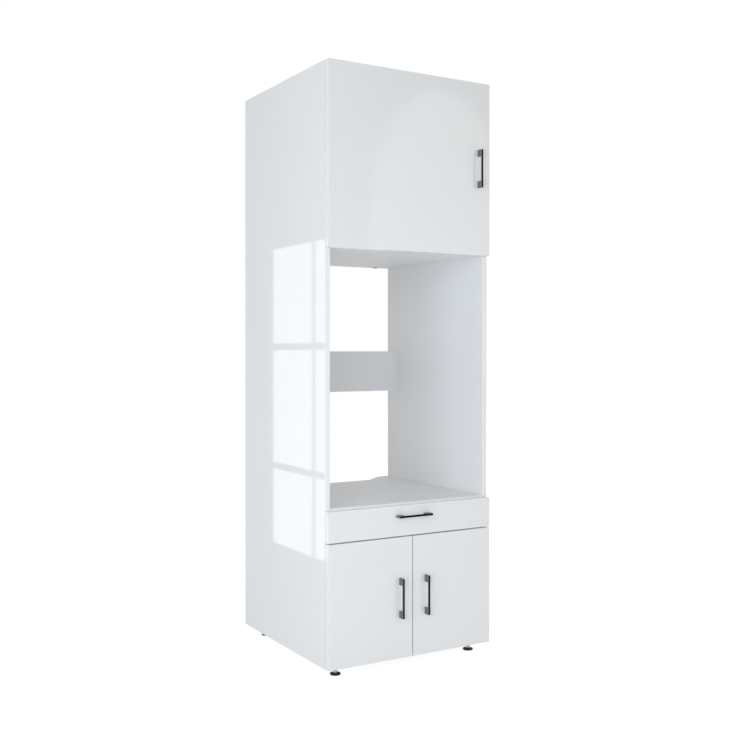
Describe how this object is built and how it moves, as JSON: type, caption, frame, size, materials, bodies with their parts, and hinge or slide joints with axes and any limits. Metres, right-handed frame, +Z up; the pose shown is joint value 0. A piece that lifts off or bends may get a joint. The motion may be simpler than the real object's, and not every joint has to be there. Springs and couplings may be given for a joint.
{
  "type": "washing machine cabinet",
  "caption": "Tall gloss white cabinet with an open niche for a washing machine, a hinged cupboard above it, and a drawer over a two-door cupboard below it.",
  "frame": {"origin": "on the floor, under the middle of the outline, handles included", "axes": "+X to the right seen from the front, +Y to the wall, +Z up; the fronts face -Y"},
  "size_m": [0.66, 0.69, 2.033],
  "materials": {
    "white_gloss_board": "particle board with a gloss white face and matching edge band",
    "white_hardboard": "thin hardboard with a satin white face",
    "black_metal": "matte black powder coat",
    "nickel_steel": "nickel-plated pressed steel",
    "zinc_steel": "zinc-plated steel",
    "white_steel": "white epoxy-coated sheet steel",
    "white_nylon": "moulded white nylon",
    "black_plastic": "moulded black plastic",
    "beech": "plain beech dowel"
  },
  "bodies": {
    "carcass": {"bottom_panel": "white_gloss_board", "cabinet_rail_screws": "zinc_steel", "cabinet_rails": "white_steel", "cam_bolts": "zinc_steel", "cam_locks": "zinc_steel", "drawer_divider": "white_gloss_board", "foot_inserts": "zinc_steel", "hinge_arms": "nickel_steel", "hinge_plate_screws": "zinc_steel", "hinge_plates": "nickel_steel", "left_side_panel": "white_gloss_board", "lower_back_panel": "white_hardboard", "niche_ceiling": "white_gloss_board", "niche_crossbar": "white_gloss_board", "niche_floor": "white_gloss_board", "right_side_panel": "white_gloss_board", "shelf_supports": "nickel_steel", "top_panel": "white_gloss_board", "upper_back_panel": "white_hardboard", "upper_shelf": "white_gloss_board", "wall_bracket_screws": "zinc_steel", "wall_brackets": "zinc_steel", "wood_dowels": "beech"},
    "upper_door": {"upper_door": "white_gloss_board", "upper_door_cup_screws": "zinc_steel", "upper_door_handle": "black_metal", "upper_door_handle_screws": "zinc_steel", "upper_door_hinge_cups": "nickel_steel"},
    "lower_left_door": {"lower_left_door": "white_gloss_board", "lower_left_door_cup_screws": "zinc_steel", "lower_left_door_handle": "black_metal", "lower_left_door_handle_screws": "zinc_steel", "lower_left_door_hinge_cups": "nickel_steel"},
    "lower_right_door": {"lower_right_door": "white_gloss_board", "lower_right_door_cup_screws": "zinc_steel", "lower_right_door_handle": "black_metal", "lower_right_door_handle_screws": "zinc_steel", "lower_right_door_hinge_cups": "nickel_steel"},
    "drawer": {"drawer_back": "white_gloss_board", "drawer_bottom": "white_hardboard", "drawer_dowels": "beech", "drawer_front": "white_gloss_board", "drawer_handle": "black_metal", "drawer_handle_screws": "zinc_steel", "drawer_left_side": "white_gloss_board", "drawer_rails": "white_steel", "drawer_right_side": "white_gloss_board", "drawer_screws": "zinc_steel"},
    "front_rollers": {"front_rollers": "white_nylon"},
    "rear_rollers": {"rear_rollers": "white_nylon"},
    "front_left_foot": {"front_left_foot_pad": "black_plastic", "front_left_foot_stud": "zinc_steel"},
    "front_right_foot": {"front_right_foot_pad": "black_plastic", "front_right_foot_stud": "zinc_steel"},
    "rear_left_foot": {"rear_left_foot_pad": "black_plastic", "rear_left_foot_stud": "zinc_steel"},
    "rear_right_foot": {"rear_right_foot_pad": "black_plastic", "rear_right_foot_stud": "zinc_steel"}
  },
  "joints": [
    {"name": "upper_door_hinge", "type": "hinge", "parent": "carcass", "child": "upper_door", "pos_m": [-0.3218, -0.3112, 1.7255], "axis": [0, 0, -1], "range_deg": [0, 100]},
    {"name": "lower_left_door_hinge", "type": "hinge", "parent": "carcass", "child": "lower_left_door", "pos_m": [-0.3218, -0.3112, 0.2385], "axis": [0, 0, -1], "range_deg": [0, 100]},
    {"name": "lower_right_door_hinge", "type": "hinge", "parent": "carcass", "child": "lower_right_door", "pos_m": [0.3218, -0.3112, 0.2385], "axis": [0, 0, 1], "range_deg": [0, 100]},
    {"name": "drawer_slide", "type": "slide", "parent": "carcass", "child": "drawer", "axis": [0, -1, 0], "range_m": [0, 0.38]},
    {"name": "front_rollers_spin", "type": "hinge", "parent": "carcass", "child": "front_rollers", "pos_m": [0, -0.286, 0.471], "axis": [1, 0, 0], "continuous": true},
    {"name": "rear_rollers_spin", "type": "hinge", "parent": "drawer", "child": "rear_rollers", "pos_m": [0, 0.188, 0.4705], "axis": [1, 0, 0], "continuous": true},
    {"name": "front_left_foot_screw", "type": "slide", "parent": "carcass", "child": "front_left_foot", "axis": [0, 0, -1], "range_m": [-0.005, 0.008]},
    {"name": "front_right_foot_screw", "type": "slide", "parent": "carcass", "child": "front_right_foot", "axis": [0, 0, -1], "range_m": [-0.005, 0.008]},
    {"name": "rear_left_foot_screw", "type": "slide", "parent": "carcass", "child": "rear_left_foot", "axis": [0, 0, -1], "range_m": [-0.005, 0.008]},
    {"name": "rear_right_foot_screw", "type": "slide", "parent": "carcass", "child": "rear_right_foot", "axis": [0, 0, -1], "range_m": [-0.005, 0.008]}
  ],
  "couplings": [
    {"joint": "front_rollers_spin", "follows": "drawer_slide", "rad_per_m": 125},
    {"joint": "rear_rollers_spin", "follows": "drawer_slide", "rad_per_m": 125}
  ]
}
